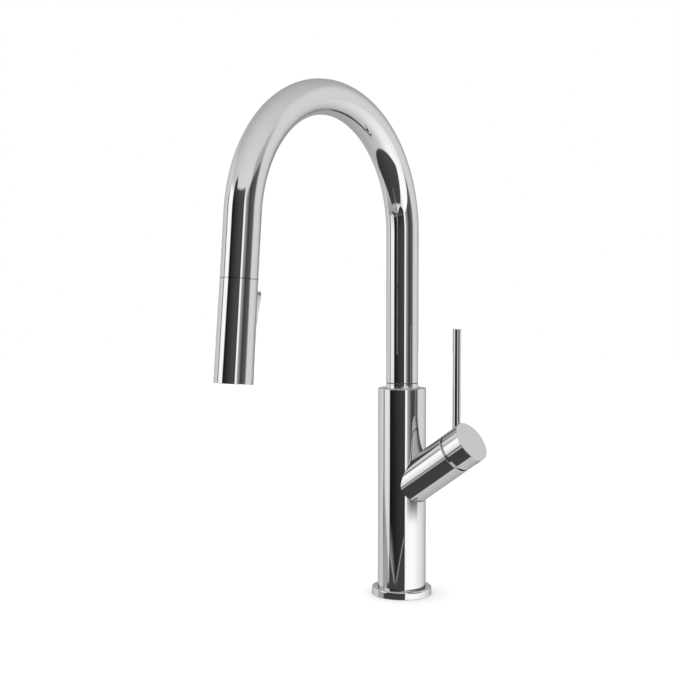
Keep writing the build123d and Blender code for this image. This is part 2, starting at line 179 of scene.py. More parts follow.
# ---- shader maths ----
class Wire:
    """A value that leaves a node. Arithmetic on it adds Math nodes."""

    def __init__(self, net, socket):
        self.net, self.socket = net, socket

    def out(self, name):
        """Another output of the same node."""
        return Wire(self.net, self.socket.node.outputs[name])

    def math(self, operation, *values):
        return self.net.add("ShaderNodeMath", {"operation": operation}, dict(enumerate(values)))

    def __add__(self, other):
        return self.math("ADD", self, other)

    def __sub__(self, other):
        return self.math("SUBTRACT", self, other)

    def __mul__(self, other):
        return self.math("MULTIPLY", self, other)

    def __truediv__(self, other):
        return self.math("DIVIDE", self, other)

    def __radd__(self, other):
        return self.math("ADD", other, self)

    def __rsub__(self, other):
        return self.math("SUBTRACT", other, self)

    def __rmul__(self, other):
        return self.math("MULTIPLY", other, self)


class Net:
    """A node tree that is being filled."""

    def __init__(self, tree):
        self.tree = tree
        tree.nodes.clear()

    def add(self, kind, settings=None, inputs=None, output=0):
        """A new node: its settings first, then the values or links of its sockets."""
        node = self.tree.nodes.new(kind)
        for key, value in (settings or {}).items():
            if key == "stops":
                while len(node.color_ramp.elements) < len(value):
                    node.color_ramp.elements.new(1.0)
                for element, (place, colour) in zip(node.color_ramp.elements, value):
                    element.position, element.color = place, colour
            else:
                setattr(node, key, value)
        for key, value in (inputs or {}).items():
            if isinstance(value, Wire):
                self.tree.links.new(value.socket, node.inputs[key])
            else:
                node.inputs[key].default_value = value
        return Wire(self, node.outputs[output]) if node.outputs else None

    def step(self, value, low, high):
        """0 below low and 1 above high, smooth between."""
        return self.add("ShaderNodeMapRange", {"interpolation_type": "SMOOTHSTEP"},
                        {"Value": value, "From Min": low, "From Max": high})

    def ramp(self, value, low, high, start, end):
        """A straight run from start to end, held outside low and high."""
        return self.add("ShaderNodeMapRange", None, {"Value": value, "From Min": low, "From Max": high,
                                                     "To Min": start, "To Max": end})

    def band(self, value, low, high, soft_low, soft_high):
        """1 between low and high, with soft edges."""
        rise = self.step(value, low - soft_low, low + soft_low)
        return rise * (1 - self.step(value, high - soft_high, high + soft_high))

    def mix(self, factor, first, second):
        """A colour between two colours."""
        return self.add("ShaderNodeMix", {"data_type": "RGBA"}, {0: factor, 6: first, 7: second}, 2)

    def noise(self, vector, scale, detail=2.0, rough=0.5):
        return self.add("ShaderNodeTexNoise", None,
                        {"Vector": vector, "Scale": scale, "Detail": detail, "Roughness": rough})

    def bump(self, height, distance, strength=1.0):
        return self.add("ShaderNodeBump", None,
                        {"Height": height, "Distance": distance, "Strength": strength})


# ---- finishes ----
def rgba(colour, gain=1.0):
    return tuple(min(1.0, channel * gain) for channel in colour) + (1.0,)


def new_finish(name, fixed, build):
    """A material whose constant sockets are set directly and whose changing ones come from build(net)."""
    material = bpy.data.materials.new(name)
    material.use_nodes = True
    net = Net(material.node_tree)
    surface = net.add("ShaderNodeBsdfPrincipled", None, {**fixed, **build(net)})
    net.add("ShaderNodeOutputMaterial", None, {"Surface": surface})
    return material


def chrome_plate():
    """Mirror chrome: a deep polish with the faint haze that wiping leaves."""

    def build(net):
        place = net.add("ShaderNodeTexCoord", output="Object")
        haze = net.noise(place, 26.0, 3.0)
        wave = net.noise(place, 55.0, 1.0)
        colour = net.mix(haze, rgba(finish().chrome, 0.985), rgba(finish().chrome, 1.01))
        return {"Base Color": colour,
                "Roughness": net.ramp(haze, 0.35, 0.75, 0.012, 0.032),
                "Normal": net.bump(wave, 0.000004, 0.15)}

    return new_finish("polished_chrome", {"Metallic": 1.0}, build)


def turned_metal(name, colour, rough, line_scale, tarnish=0.8):
    """Machined metal: fine tool lines round the piece and patches of duller colour."""

    def build(net):
        place = net.add("ShaderNodeTexCoord", output="Object")
        lines = net.add("ShaderNodeVectorMath", {"operation": "MULTIPLY"},
                        {0: place, 1: (60.0, 60.0, line_scale)})
        tool = net.noise(lines, 1.0, 2.0)
        patch = net.noise(place, 120.0, 4.0, 0.6)
        return {"Base Color": net.mix(net.step(patch, 0.38, 0.68), rgba(colour, tarnish), rgba(colour)),
                "Roughness": net.ramp(tool, 0.3, 0.7, rough - 0.07, rough + 0.09),
                "Normal": net.bump(tool, 0.00004, 0.5)}

    return new_finish(name, {"Metallic": 1.0}, build)


def moulded(name, colour, rough, grain, fixed=None):
    """Moulded rubber or plastic with a fine grain and a slight unevenness of colour."""

    def build(net):
        place = net.add("ShaderNodeTexCoord", output="Object")
        fine = net.noise(place, grain, 3.0, 0.6)
        cloud = net.noise(place, 90.0, 2.0)
        return {"Base Color": net.mix(cloud, rgba(colour, 0.82), rgba(colour, 1.12)),
                "Roughness": net.ramp(fine, 0.3, 0.7, rough - 0.06, rough + 0.08),
                "Normal": net.bump(fine, 0.00005, 0.5)}

    return new_finish(name, fixed or {}, build)


def hose_braid(name, own_weave):
    """A tight two-way braid: strands that pass over and under each other, with painted shade darkening the valleys
    between them.
    """

    def build(net):
        if own_weave:
            weave = net.add("ShaderNodeAttribute", {"attribute_name": "weave"}, output="Vector")
        else:
            weave = net.add("ShaderNodeTexCoord", output="Object")
        part = net.add("ShaderNodeSeparateXYZ", None, {0: weave})
        around = part.math("ARCTAN2", part.out("Y"), part) * 12.0
        along = part.out("Z") * 1500.0
        left, right = around + along, around - along
        ridge_left = (left * 0.5).math("ABSOLUTE", (left * 0.5).math("COSINE", left * 0.5))
        ridge_right = (right * 0.5).math("ABSOLUTE", (right * 0.5).math("COSINE", right * 0.5))
        swap = net.step(left.math("SINE", left) * right.math("SINE", right), -0.15, 0.15)
        height = ridge_left * swap + ridge_right * (1 - swap)
        # Painted shade: the colour darkens from the strand crowns into the valleys between the strands.
        tone = net.step(height, 0.15, 0.85)
        colour = net.mix(tone, rgba(finish().braid_groove_shade), rgba(finish().braid_crown_colour))
        return {"Base Color": colour, "Roughness": net.ramp(height, 0.0, 1.0, 0.62, 0.38),
                "Normal": net.bump(height, 0.00035, 0.9)}

    return new_finish(name, {"Specular IOR Level": 0.5}, build)


FINISHES = {}


def make_finishes():
    """One material for each slot of the record."""
    look = finish()
    FINISHES.update({
        "polished_chrome": chrome_plate(),
        "raw_brass": turned_metal("raw_brass", look.brass, 0.30, 2600.0),
        "copper_pipe": turned_metal("copper_pipe", look.copper, 0.26, 900.0, 0.62),
        "stainless_steel": turned_metal("stainless_steel", look.steel, 0.27, 1800.0),
        "nickel_magnet": turned_metal("nickel_magnet", look.magnet, 0.22, 500.0, 0.9),
        "black_rubber": moulded("black_rubber", look.rubber, 0.62, 1400.0),
        "white_acetal": moulded("white_acetal", look.acetal, 0.42, 800.0),
        "grey_plastic": moulded("grey_plastic", look.plastic, 0.40, 1900.0),
        "disc_ceramic": moulded("disc_ceramic", look.ceramic, 0.24, 600.0),
        "soft_silicone": moulded("soft_silicone", look.silicone, 0.50, 1200.0),
        "braided_hose": hose_braid("braided_hose", False),
        "braided_lead": hose_braid("braided_lead", True),
    })


# ---- mesh making ----
class Shape:
    """Faces whose corners carry their own normals. Corners at one place share a vertex."""

    def __init__(self):
        self.index, self.verts, self.faces, self.normals = {}, [], [], []

    def face(self, corners):
        ids, normals = [], []
        for point, normal in corners:
            key = tuple(round(value * 1e7) for value in point)
            i = self.index.setdefault(key, len(self.verts))
            if i == len(self.verts):
                self.verts.append(tuple(point))
            if i not in ids:
                ids.append(i)
                normals.append(Vector(normal))
        if len(ids) < 3:
            return
        a, b, c = (Vector(self.verts[i]) for i in ids[:3])
        if (b - a).cross(c - a).dot(sum(normals, Vector())) < 0:
            ids.reverse()
            normals.reverse()
        self.faces.append(ids)
        self.normals.extend(normals)

    def grid(self, rows, wrap=True, skip=None):
        """Quads between rows of (point, normal) corners."""
        for i, (low, high) in enumerate(zip(rows, rows[1:])):
            count = len(low)
            for j in range(count if wrap else count - 1):
                k = (j + 1) % count
                if skip is None or not skip(i, j):
                    self.face((low[j], low[k], high[k], high[j]))

    def piece(self, name, place, body, slot, *nodes):
        """The finished object, riding on its body in place of its CAD nodes."""
        turn_only = place.to_3x3()
        mesh = bpy.data.meshes.new(name)
        mesh.from_pydata([place @ Vector(v) for v in self.verts], [], self.faces)
        mesh.polygons.foreach_set("use_smooth", [True] * len(mesh.polygons))
        mesh.normals_split_custom_set([(turn_only @ n).normalized() for n in self.normals])
        mesh.materials.append(FINISHES[slot])
        made = bpy.data.objects.new(name, mesh)
        bpy.context.scene.collection.objects.link(made)
        if body:
            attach(made, body)
        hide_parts(*nodes)
        return made


def outline(corners, closed=True, steps=6):
    """A profile of straight runs with rounded corners, from (radius, height[, rounding]) corners.

    It runs anticlockwise, up the outside. Each sample is (radius, height, normal before, normal after)."""
    samples = []
    count = len(corners)
    for i, corner in enumerate(corners):
        here = Vector(corner[:2])
        before = here - Vector(corners[i - 1][:2]) if closed or i else None
        after = Vector(corners[(i + 1) % count][:2]) - here if closed or i < count - 1 else None
        before = before if before is not None else after
        after = after if after is not None else before
        way_in, way_out = before.normalized(), after.normalized()
        n_in, n_out = Vector((way_in.y, -way_in.x)), Vector((way_out.y, -way_out.x))
        rounding = corner[2] if len(corner) > 2 else 0.0
        bend = atan2(way_in.x * way_out.y - way_in.y * way_out.x, way_in.dot(way_out))
        if rounding <= 0 or abs(bend) < 1e-4:
            samples.append((*here, n_in, n_out))
            continue
        reach = rounding * tan(abs(bend) / 2)
        side = copysign(1.0, bend)
        centre = here - way_in * reach - n_in * rounding * side
        for k in range(steps + 1):
            angle = bend * k / steps
            normal = Vector((n_in.x * cos(angle) - n_in.y * sin(angle),
                             n_in.x * sin(angle) + n_in.y * cos(angle)))
            samples.append((*(centre + normal * rounding * side), normal, normal))
    return samples


def dome_samples(centre, radius, start, end, steps):
    """A round run about a centre on the axis, between two angles above the horizontal."""
    samples = []
    for k in range(steps + 1):
        angle = start + (end - start) * k / steps
        normal = Vector((cos(angle), sin(angle)))
        samples.append((radius * cos(angle), centre + radius * sin(angle), normal, normal))
    return samples


def straight_spine(height):
    return Vector((0, 0, height)), Vector((1, 0, 0)), Vector((0, 1, 0)), Vector((0, 0, 1))


def ring_row(sample, which, segments, spine=straight_spine, start=0.0):
    radius, height = sample[0], sample[1]
    normal = sample[2 + which]
    centre, x_way, y_way, along = spine(height)
    row = []
    for j in range(segments):
        angle = start + 2 * pi * j / segments
        out = x_way * cos(angle) + y_way * sin(angle)
        row.append((centre + out * radius, out * normal.x + along * normal.y))
    return row


def lathe(shape, samples, closed=True, segments=None, spine=straight_spine, start=0.0, leave=None):
    """Turns a profile about its spine. leave(i) is true for runs that are made another way."""
    segments = segments or studio().segments
    last = len(samples) if closed else len(samples) - 1
    for i in range(last):
        if leave is None or not leave(i):
            low = ring_row(samples[i], 1, segments, spine, start)
            high = ring_row(samples[(i + 1) % len(samples)], 0, segments, spine, start)
            shape.grid([low, high])


def superellipse(angle, half_x, half_y, power):
    """The point of a rounded rectangle or an ellipse in a direction, as (x, y)."""
    c, s = cos(angle), sin(angle)
    reach = (abs(c) ** power + abs(s) ** power) ** (-1 / power)
    return half_x * reach * c, half_y * reach * s


def punched_wall(shape, radius_at, low, high, hole, segments, start):
    """The wall of a turned piece between two heights, with one opening and its inward sides.

    hole has at, height, half_x, half_y, power, rim and depth; the sides run straight in."""
    slope = (radius_at(high) - radius_at(low)) / (high - low)
    tilt = Vector((1, -slope)).normalized()

    def corner(angle, height):
        out = Vector((cos(angle), sin(angle), 0))
        return out * radius_at(height) + Vector((0, 0, height)), out * tilt.x + Vector((0, 0, tilt.y))

    step = 2 * pi / segments
    reach_j = int(hole["half_x"] * 1.35 / (radius_at(hole["height"]) * step)) + 2
    middle_j = round((hole["at"] - start) / step)
    margin = hole["half_y"] * 1.35 + 0.3 * MM
    fine = 12
    heights = [low, hole["height"] - margin]
    heights += [hole["height"] - margin + 2 * margin * k / fine for k in range(1, fine)]
    heights += [hole["height"] + margin, high]
    rows = [[corner(start + step * j, h) for j in range(segments)] for h in heights]
    first_j, last_j = middle_j - reach_j, middle_j + reach_j

    def in_block(i, j):
        return 1 <= i <= fine and any(first_j <= j + lap < last_j for lap in (-segments, 0, segments))

    shape.grid(rows, skip=in_block)
    edge = [(first_j + k, 1) for k in range(2 * reach_j)]
    edge += [(last_j, 1 + k) for k in range(fine)]
    edge += [(last_j - k, 1 + fine) for k in range(2 * reach_j)]
    edge += [(first_j, 1 + fine - k) for k in range(fine)]
    base = radius_at(hole["height"])
    facing = Vector((cos(hole["at"]), sin(hole["at"]), 0))
    across = Vector((-sin(hole["at"]), cos(hole["at"]), 0))
    rim, rings = hole["rim"], []

    def flat(x, y):
        """The surface point seen straight ahead at x, y from the hole's middle."""
        height = hole["height"] + y
        radius = radius_at(height)
        return hole["at"] + asin(max(-1.0, min(1.0, x / radius))), height

    loops = []
    for j, i in edge:
        angle, height = start + step * j, heights[i]
        x, y = base * sin(angle - hole["at"]), height - hole["height"]
        toward = atan2(y / hole["half_y"], x / hole["half_x"])
        loops.append((angle, height, toward))
    for k in range(5):
        share = k / 4
        row = []
        for angle, height, toward in loops:
            x, y = superellipse(toward, hole["half_x"] + rim, hole["half_y"] + rim, hole["power"])
            inner_angle, inner_height = flat(x, y)
            row.append(corner(angle + (inner_angle - angle) * share,
                              height + (inner_height - height) * share))
        rings.append(row)
    shape.grid(rings)
    sides = []
    for k in range(5):
        phi = pi / 2 * k / 4
        row = []
        for _, _, toward in loops:
            x, y = superellipse(toward, hole["half_x"] + rim * (1 - sin(phi)),
                                hole["half_y"] + rim * (1 - sin(phi)), hole["power"])
            surface, normal = corner(*flat(*superellipse(toward, hole["half_x"] + rim, hole["half_y"] + rim,
                                                         hole["power"])))
            flat_place = across * x + Vector((0, 0, hole["height"] + y))
            depth_now = surface.dot(facing) - rim * (1 - cos(phi))
            inward = (across * -x + Vector((0, 0, -y))).normalized()
            turned = (normal * cos(phi) + inward * sin(phi)).normalized()
            row.append((flat_place + facing * depth_now, turned))
        sides.append(row)
    deep = []
    for point, normal in sides[-1]:
        flat_part = point - facing * point.dot(facing)
        deep.append((flat_part + facing * (base - hole["depth"]), normal))
    shape.grid(sides)
    shape.grid([sides[-1], deep])


# ---- frames of the faucet ----
def lever_place():
    rise = sizes().lever_rise
    place = Matrix(((-sin(rise), 0, cos(rise)), (0, -1, 0), (cos(rise), 0, sin(rise)))).to_4x4()
    place.translation = (0, 0, sizes().lever_height)
    return place


def arc_end():
    size = sizes()
    start = TUBE_HIGH.z - size.tube_radius - size.arc_radius
    return Vector((0, -size.arc_radius + size.arc_radius * cos(size.arc_turn),
                   start + size.arc_radius * sin(size.arc_turn)))


def leg_down():
    turned = sizes().arc_turn
    return Vector((0, -sin(turned), cos(turned)))


def head_place():
    up = -leg_down()
    place = Matrix(((1, 0, 0), (0, up.z, up.y), (0, -up.y, up.z))).to_4x4()
    place.translation = arc_end() + leg_down() * sizes().leg
    return place


def spout_spine(distance):
    """The spout's centreline, by distance from the height where the tube starts."""
    size = sizes()
    start = TUBE_HIGH.z - size.tube_radius - size.arc_radius
    riser = start - size.tube_foot
    arc_length = size.arc_radius * size.arc_turn
    if distance <= riser:
        angle, centre = 0.0, Vector((0, 0, size.tube_foot + distance))
    elif distance <= riser + arc_length:
        angle = (distance - riser) / size.arc_radius
        centre = Vector((0, -size.arc_radius + size.arc_radius * cos(angle),
                         start + size.arc_radius * sin(angle)))
    else:
        angle = size.arc_turn
        centre = arc_end() + leg_down() * (distance - riser - arc_length)
    along = Vector((0, -sin(angle), cos(angle)))
    return centre, Vector((1, 0, 0)), along.cross(Vector((1, 0, 0))), along


# ---- pieces ----
def make_flange():
    size, shape = sizes(), Shape()
    bore, r, band, top = size.column_radius + 0.05 * MM, size.flange_radius, size.flange_band, size.flange_top
    corners = [(r - 0.25 * MM, 0, 0.1 * MM), (r, 0.25 * MM, 0.3 * MM), (r, band - 0.1 * MM, 0.2 * MM),
               (r - 0.13 * MM, band + 0.75 * MM, 0.7 * MM), (r - 1.3 * MM, top - 0.28 * MM, 0.8 * MM),
               (bore, top), (bore, 1.6 * MM), (24.0 * MM, 1.6 * MM), (24.0 * MM, 0)]
    lathe(shape, outline(corners))
    shape.piece("flange_ring", Matrix(), "root", "polished_chrome", "base_flange")


def make_column():
    size, shape = sizes(), Shape()
    segments = studio().segments
    r, top, edge, low = size.column_radius, size.column_top, size.column_edge, COLUMN_LOW.z
    mouth = 12.75 * MM
    samples = outline([(r, low), (r, top, edge), (mouth, top, 0.25 * MM), (mouth, top - 2.4 * MM),
                       (15 * MM, top - 2.4 * MM), (15 * MM, 138 * MM), (18.8 * MM, 130 * MM),
                       (18.8 * MM, 14 * MM), (16.5 * MM, 14 * MM), (16.5 * MM, low)])
    lathe(shape, samples, leave=lambda i: i == 0)
    hole = {"at": pi / 2, "height": size.spout_screw_height, "half_x": 2.5 * MM, "half_y": 2.5 * MM,
            "power": 2, "rim": 0.25 * MM, "depth": 5.5 * MM}
    punched_wall(shape, lambda h: r, low, samples[1][1], hole, segments, 0.0)
    shape.piece("column_tube", Matrix(), "root", "polished_chrome", "column_shell")


def make_collar():
    size, shape = sizes(), Shape()
    low, high, bore = COLLAR_LOW.z, COLLAR_HIGH.z, 12.8 * MM
    widest = COLLAR_HIGH.x
    upper = size.tube_radius + 0.03 * MM
    corners = [(widest, low, 0.05 * MM), (widest - 0.04 * MM, low + 0.3 * MM, 0.25 * MM),
               (upper, high - 1.9 * MM, 0.9 * MM), (upper, high, 0.12 * MM), (bore, high), (bore, low)]
    lathe(shape, outline(corners))
    shape.piece("spout_collar", Matrix(), "spout", "polished_chrome", "swivel_collar")


def make_spout_tube():
    size, shape = sizes(), Shape()
    start = TUBE_HIGH.z - size.tube_radius - size.arc_radius
    riser, arc_length = start - size.tube_foot, size.arc_radius * size.arc_turn
    end = riser + arc_length + size.leg - size.head - size.seam / 4
    stops = [riser * k / 12 for k in range(1, 12)]
    stops += [riser + arc_length * k / 210 for k in range(211)]
    stops += [riser + arc_length + (end - riser - arc_length) * k / 6 for k in range(1, 6)]
    outer, inner = size.tube_radius, size.tube_radius - size.tube_wall
    corners = [(outer, 0, 0.12 * MM)] + [(outer, d) for d in stops] + [(outer, end, 0.12 * MM)]
    corners += [(inner, end, 0.2 * MM)] + [(inner, d) for d in reversed(stops)] + [(inner, 0)]
    lathe(shape, outline(corners), spine=spout_spine)
    shape.piece("spout_arc", Matrix(), "spout", "polished_chrome", "spout_tube")


def make_seam_rings():
    """The dark rings that show as fine lines at the collar and at the docking seam."""
    size = sizes()
    for name, place, low, high in (
            ("collar_ring", Matrix(), COLLAR_HIGH.z - 0.05 * MM, size.tube_foot + 0.1 * MM),
            ("docking_ring", head_place(), size.head - size.seam * 0.9, size.head + size.seam * 0.4)):
        shape = Shape()
        r, bore = size.tube_radius - 0.35 * MM, size.tube_radius - size.tube_wall + 0.05 * MM
        lathe(shape, outline([(r, low), (r, high), (bore, high), (bore, low)]))
        shape.piece(name, place, "spout", "black_rubber")


def make_barrel():
    """The lever barrel, cut to the column with a fine eased edge along the saddle seam."""
    size, shape = sizes(), Shape()
    segments = studio().segments
    r, rise, bore = size.barrel_radius, size.lever_rise, 16.0 * MM
    column = size.column_radius + 0.02 * MM
    ease = 0.3 * MM

    def saddle(radius, angle):
        return (sqrt(column ** 2 - (radius * sin(angle)) ** 2) + radius * cos(angle) * sin(rise)) / cos(rise)

    def row(radius, lift, nr, nz):
        made = []
        for j in range(segments):
            angle = 2 * pi * j / segments
            out = Vector((cos(angle), sin(angle), 0))
            made.append((out * radius + Vector((0, 0, saddle(radius, angle) + lift)),
                         (out * nr + Vector((0, 0, nz))).normalized()))
        return made

    rows = []
    for k in range(5):
        phi = pi / 2 * k / 4
        rows.append(row(r - ease * (1 - sin(phi)), ease * (1 - cos(phi)), sin(phi), -cos(phi)))
    shape.grid(rows)
    samples = outline([(r, size.barrel_end - 12 * MM), (r, size.barrel_end, 0.45 * MM),
                       (bore, size.barrel_end, 0.2 * MM), (bore, size.barrel_end - 12 * MM)], closed=False)
    shape.grid([rows[-1], ring_row(samples[0], 1, segments)])
    lathe(shape, samples, closed=False)
    shape.grid([ring_row(samples[-1], 0, segments), row(bore, 0, -1, 0)])
    shape.grid([row(bore, 0, 0, -1), row(r - ease, 0, 0, -1)])
    shape.piece("lever_barrel", lever_place(), "root", "polished_chrome", "valve_barrel")


def make_bonnet():
    size, shape = sizes(), Shape()
    ball, neck, bore = 21.7 * MM, 15.8 * MM, 11.6 * MM
    neck_top = asin(sqrt(ball ** 2 - neck ** 2) / ball)
    bore_top = asin(sqrt(ball ** 2 - bore ** 2) / ball)
    low = size.barrel_end - 8 * MM
    samples = outline([(neck, low), (neck, size.pivot + ball * sin(neck_top))], closed=False)
    samples += dome_samples(size.pivot, ball, neck_top, bore_top, 24)
    samples += outline([(bore, size.pivot + ball * sin(bore_top)), (bore, low)], closed=False)
    lathe(shape, samples)
    shape.piece("ball_bonnet", lever_place(), "root", "polished_chrome", "bonnet")


def make_handle_cap():
    size, shape = sizes(), Shape()
    segments = studio().segments
    r, start, end, hollow = size.barrel_radius, size.cap_start, size.cap_end, 22.3 * MM
    drop = start - size.pivot
    rim = sqrt(hollow ** 2 - drop ** 2)
    samples = outline([(rim, start), (r, start, 0.4 * MM), (r, end, 0.45 * MM), (0, end)], closed=False)
    wall = next(i for i in range(len(samples) - 1) if samples[i + 1][1] - samples[i][1] > 5 * MM)
    lathe(shape, samples, closed=False, leave=lambda i: i == wall)
    hole = {"at": pi, "height": size.cap_screw, "half_x": 2.05 * MM, "half_y": 2.05 * MM, "power": 2,
            "rim": 0.2 * MM, "depth": 2.2 * MM}
    punched_wall(shape, lambda h: r, samples[wall][1], samples[wall + 1][1], hole, segments, 0.0)
    stem = 4.05 * MM
    inner = [(x, z, -n, -n) for x, z, n, _ in
             dome_samples(size.pivot, hollow, asin(drop / hollow), pi / 2 - asin(stem / hollow), 16)]
    inner += outline([(stem, size.pivot + hollow), (stem, 84 * MM), (0, 84 * MM)], closed=False)
    lathe(shape, inner, closed=False)
    shape.piece("lever_cap", lever_place(), "handle", "polished_chrome", "handle_cap")


def make_rod():
    size, shape = sizes(), Shape()
    r, low, high = size.rod_radius, ROD_LOW.z, ROD_HIGH.z
    lathe(shape, outline([(0, low), (r, low, 0.3 * MM), (r, high, 0.5 * MM), (0, high)], closed=False),
          closed=False, segments=96)
    place = Matrix.Translation(((ROD_LOW.x + ROD_HIGH.x) / 2, 0, 0))
    shape.piece("lever_bar", place, "handle", "polished_chrome", "lever_rod")


def shell_radius(height):
    size = sizes()
    return size.head_tip_radius + (size.tube_radius - size.head_tip_radius) * height / size.head


def make_spray_shell():
    """The wand's shell, open where the toggle sits and at both ends."""
    size, shape = sizes(), Shape()
    segments = studio().segments
    top, bore, lip = size.head - size.seam, 12.6 * MM, size.head_tip_radius - 1.4 * MM
    samples = outline([(size.head_tip_radius, 0, 0.35 * MM), (shell_radius(top), top, 0.12 * MM),
                       (bore, top, 0.2 * MM), (bore, 72.3 * MM), (bore, 43 * MM), (bore, 8 * MM),
                       (lip, 8 * MM), (lip, 0, 0.3 * MM)])
    wall = next(i for i in range(len(samples) - 1) if samples[i + 1][1] - samples[i][1] > 40 * MM)
    gap = next(i for i in range(len(samples) - 1) if abs(samples[i][1] - 72.3 * MM) < 0.01 * MM)
    lathe(shape, samples, leave=lambda i: i in (wall, gap))
    low, high = ring_row(samples[gap], 1, segments), ring_row(samples[gap + 1], 0, segments)
    shape.grid([low, high], skip=lambda i, j: abs((j + 0.5) * 2 * pi / segments - pi / 2) < 0.85)
    low_end = size.toggle_middle - size.toggle_height - 0.5 * MM
    high_end = size.toggle_middle + size.toggle_sweep + 0.3 * MM
    hole = {"at": pi / 2, "height": (low_end + high_end) / 2, "half_x": size.toggle_width + WINDOW_GAP,
            "half_y": (high_end - low_end) / 2, "power": 14, "rim": 0.3 * MM, "depth": 4.6 * MM}
    punched_wall(shape, shell_radius, samples[wall][1], samples[wall + 1][1], hole, segments, 0.0)
    shape.piece("wand_shell", head_place(), "spray_head", "polished_chrome", "spray_shell")


def make_toggle():
    """The rocker: part of a leaning drum with eased edges and two shallow finger dishes."""
    size, shape = sizes(), Shape()
    drum, around, soft, corners = 14.25 * MM, 96, 0.5 * MM, 9
    back = 11.6 * MM

    def corner(x, v, sink):
        dish = 0.3 * MM * sin(pi * v / size.toggle_height) ** 2 * (1 - (x / size.toggle_width) ** 2)
        y = sqrt(drum ** 2 - x ** 2) - max(0.0, dish) - sink
        normal = Vector((x / drum, 1, 0))
        return Vector((x, y, v)), normal

    turned = Matrix.Rotation(-size.toggle_lean, 4, "X")
    offset = Vector((0, size.toggle_proud, size.toggle_middle))
    half_x, half_v = size.toggle_width - soft, size.toggle_height - soft
    rows = []
    for k in range(11):
        share = k / 10
        row = []
        for j in range(around):
            angle = 2 * pi * j / around
            x, v = superellipse(angle, half_x * share, half_v * share, 2 + (corners - 2) * share)
            point, normal = corner(x, v, 0.0)
            step = 0.05 * MM
            tip_up = corner(x, v + step, 0.0)[0] - corner(x, v - step, 0.0)[0]
            tip_side = corner(x + step, v, 0.0)[0] - corner(x - step, v, 0.0)[0]
            normal = tip_up.cross(tip_side).normalized()
            row.append((turned @ point + offset, turned.to_3x3() @ (normal if normal.y > 0 else -normal)))
        rows.append(row)
    shape.grid(rows)
    edge = []
    for k in range(6):
        phi = pi / 2 * k / 5
        row = []
        for j in range(around):
            angle = 2 * pi * j / around
            grow = soft * sin(phi)
            x, v = superellipse(angle, half_x + grow, half_v + grow, corners)
            base_x, base_v = superellipse(angle, half_x, half_v, corners)
            flat, normal = corner(base_x, base_v, 0.0)
            out = Vector((x - base_x, 0, v - base_v))
            out = out.normalized() if out.length > 1e-9 else Vector((cos(angle), 0, sin(angle)))
            point = Vector((x, flat.y - soft * (1 - cos(phi)), v))
            normal = rows[-1][j][1] * cos(phi) + turned.to_3x3() @ out * sin(phi)
            row.append((turned @ point + offset, normal.normalized()))
        edge.append(row)
    shape.grid(edge)
    foot = []
    for point, normal in edge[-1]:
        foot.append((Vector((point.x, back, point.z)), normal))
    shape.grid([edge[-1], foot])
    middle = Vector((0, back, size.toggle_middle))
    for j in range(around):
        down = Vector((0, -1, 0))
        shape.face([(foot[j][0], down), (foot[(j + 1) % around][0], down), (middle, down)])
    shape.piece("spray_toggle", head_place(), "toggle", "polished_chrome", "toggle_paddle")


def make_hose_lead():
    """The braided hose where it leaves the spout, drawn out as the head is pulled."""
    size, shape = sizes(), Shape()
    top, low, rings, around = size.leg - 1.2 * MM, 100.1 * MM, 150, 48
    heights = [low + (top - low) * k / rings for k in range(rings + 1)]
    corners = [(size.hose_radius, h) for h in heights] + [(3.8 * MM, top), (3.8 * MM, low)]
    lathe(shape, outline(corners), segments=around)
    place = head_place()
    made = shape.piece("hose_run", place, None, "braided_lead", "hose_lead")
    pull = JOINTS["spray_pull"]["range_m"][1]
    weave = made.data.attributes.new("weave", "FLOAT_VECTOR", "POINT")
    back = place.inverted()
    for i, vertex in enumerate(made.data.vertices):
        local = back @ vertex.co
        share = (top - local.z) / (top - low)
        drawn = share * share * (3 - 2 * share) * pull
        weave.data[i].vector = (local.x, local.y, top - local.z + drawn)
    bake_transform(made)


def dress_inner_parts():
    """Gives every CAD node that stays its finish."""
    for part in frame["record"]["subparts"]:
        node = frame["nodes"][part["node"]]
        node.data.materials.clear()
        node.data.materials.append(FINISHES[part["material_slot"]])


# ---- studio ----
def tone(level):
    """The light that chrome needs in front of it to look as bright as a display level."""
    share = level / 255
    linear = share / 12.92 if share <= 0.04045 else ((share + 0.055) / 1.055) ** 2.4
    return linear / finish().chrome[1]


def lay(under, mask, value):
    """One panel of light laid over what is behind it."""
    return under * (1 - mask) + mask * value


